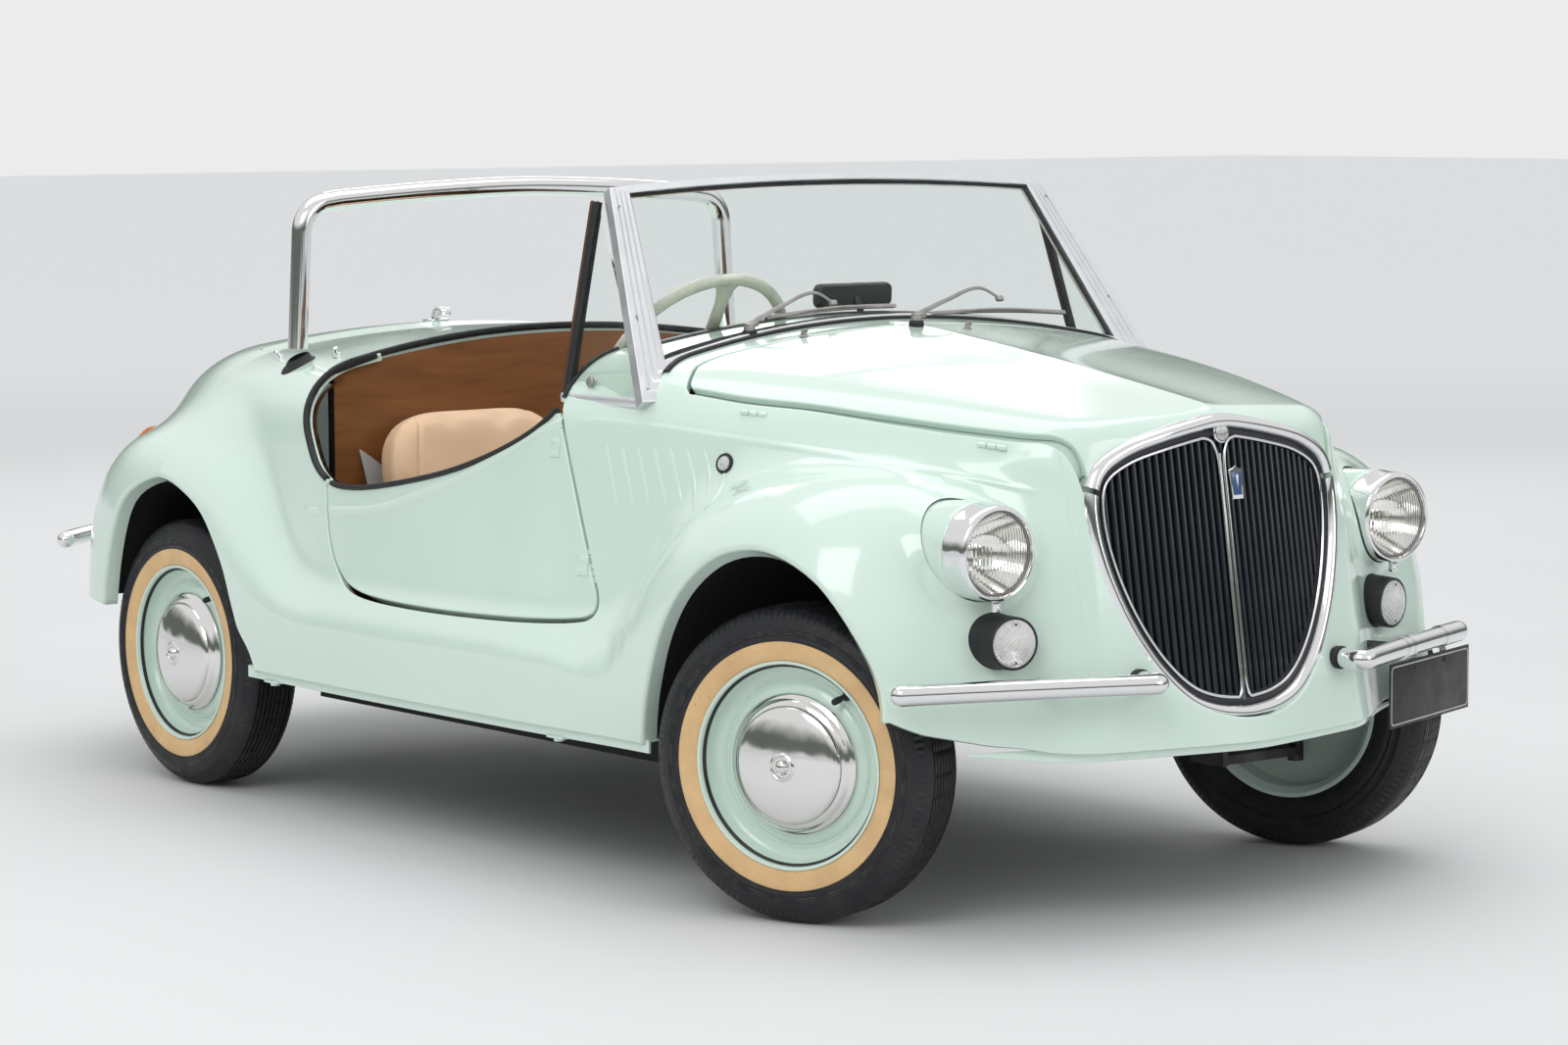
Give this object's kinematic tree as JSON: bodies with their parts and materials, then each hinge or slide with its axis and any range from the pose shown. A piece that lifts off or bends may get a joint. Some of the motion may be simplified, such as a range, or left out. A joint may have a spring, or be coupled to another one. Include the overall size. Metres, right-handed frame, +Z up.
{
  "type": "rear-engined open two-seat roadster",
  "caption": "Small open two-seat car on four wheels with a flat windscreen, roll hoop, shield grille, hinged doors and lids.",
  "frame": {"origin": "on the floor under the middle of the car's box", "axes": "+X forward, +Y to the car's left, +Z up"},
  "size_m": [3.0198, 1.3988, 1.1799],
  "materials": {
    "body_paint": "pale mint gloss enamel",
    "chrome": "bright plated",
    "black_slats": "satin black",
    "lamp_glass": "fluted lens in a chrome ring",
    "amber_red_lens": "amber over red lens",
    "clear_lens": "ribbed clear lens on black rubber",
    "aluminium_frame": "satin, fluted",
    "window_glass": "clear",
    "floor_paint": "black underbody finish",
    "brown_trim": "brown vinyl",
    "plate_black": "black with a silver border, blank",
    "leather": "peach cream leather",
    "seat_metal": "black painted tube",
    "wheel_paint": "mint enamel with a chrome cap",
    "tyre": "black with a cream wall band",
    "cast_iron": "dull black",
    "cream_plastic": "cream"
  },
  "bodies": {
    "body": {"front_wing_right": "body_paint", "front_wing_left": "body_paint", "body_side_right": "body_paint", "body_side_left": "body_paint", "rear_deck": "body_paint", "cowl": "body_paint", "nose_panel": "body_paint", "grille_surround": "chrome", "grille_slats": "black_slats", "lamp_pods": "body_paint", "headlamps": "lamp_glass", "indicators": "clear_lens", "bumpers": "chrome", "tail_lamps": "amber_red_lens", "windscreen_frame": "aluminium_frame", "window_glass": "window_glass", "roll_hoop": "chrome", "floor_pan": "floor_paint", "front_bulkhead": "floor_paint", "rear_bulkhead": "brown_trim", "engine_block": "cast_iron", "dashboard": "brown_trim", "steering_column": "seat_metal", "seat_cushions": "leather", "seat_backs": "leather", "seat_frames": "seat_metal", "front_plate": "plate_black", "front_spring": "cast_iron", "rear_arms": "cast_iron"},
    "front_lid": {"front_lid": "body_paint", "lid_chrome": "chrome"},
    "engine_lid": {"engine_lid": "body_paint", "rear_plate": "plate_black"},
    "door_right": {"door_right": "body_paint"},
    "door_left": {"door_left": "body_paint"},
    "steering_wheel": {"steering_wheel": "cream_plastic"},
    "knuckle_right": {"knuckle_right": "cast_iron"},
    "knuckle_left": {"knuckle_left": "cast_iron"},
    "wheel_front_right": {"tyre_front_right": "tyre", "wheel_front_right": "wheel_paint"},
    "wheel_front_left": {"tyre_front_left": "tyre", "wheel_front_left": "wheel_paint"},
    "wheel_rear_right": {"tyre_rear_right": "tyre", "wheel_rear_right": "wheel_paint"},
    "wheel_rear_left": {"tyre_rear_left": "tyre", "wheel_rear_left": "wheel_paint"}
  },
  "joints": [
    {"name": "steer_right", "type": "hinge", "parent": "body", "child": "knuckle_right", "pos_m": [1.02, -0.5485, 0.255], "axis": [0, 0, 1], "range_deg": [-54, 12]},
    {"name": "steer_left", "type": "hinge", "parent": "body", "child": "knuckle_left", "pos_m": [1.02, 0.5485, 0.255], "axis": [0, 0, 1], "range_deg": [-54, 12]},
    {"name": "steering_wheel_turn", "type": "hinge", "parent": "body", "child": "steering_wheel", "pos_m": [0.38, -0.292, 0.858], "axis": [-0.809, 0, 0.5878], "range_deg": [-702, 156]},
    {"name": "spin_front_right", "type": "hinge", "parent": "knuckle_right", "child": "wheel_front_right", "pos_m": [1.0243, -0.5597, 0.255], "axis": [-0.3584, 0.9336, 0], "continuous": true},
    {"name": "spin_front_left", "type": "hinge", "parent": "knuckle_left", "child": "wheel_front_left", "pos_m": [1.0157, 0.5597, 0.255], "axis": [-0.3584, 0.9336, 0], "continuous": true},
    {"name": "spin_rear_right", "type": "hinge", "parent": "body", "child": "wheel_rear_right", "pos_m": [-0.82, -0.571, 0.255], "axis": [0, 1, 0], "continuous": true},
    {"name": "spin_rear_left", "type": "hinge", "parent": "body", "child": "wheel_rear_left", "pos_m": [-0.82, 0.571, 0.255], "axis": [0, 1, 0], "continuous": true},
    {"name": "door_right_hinge", "type": "hinge", "parent": "body", "child": "door_right", "pos_m": [0.5282, -0.619, 0.533], "axis": [-0.3834, 0.043, 0.9226], "range_deg": [0, 60]},
    {"name": "door_left_hinge", "type": "hinge", "parent": "body", "child": "door_left", "pos_m": [0.5282, 0.619, 0.533], "axis": [0.3834, 0.043, -0.9226], "range_deg": [0, 60]},
    {"name": "front_lid_hinge", "type": "hinge", "parent": "body", "child": "front_lid", "pos_m": [0.833, -0.512, 0.801], "axis": [0.936, 0.342, -0.0833], "range_deg": [0, 60]},
    {"name": "engine_lid_hinge", "type": "hinge", "parent": "body", "child": "engine_lid", "pos_m": [-1.4691, 0, 0.397], "axis": [0, -1, 0], "range_deg": [0, 75]}
  ],
  "couplings": [
    {"joint": "steer_left", "follows": "steer_right", "ratio": 1},
    {"joint": "steering_wheel_turn", "follows": "steer_right", "ratio": 13}
  ]
}
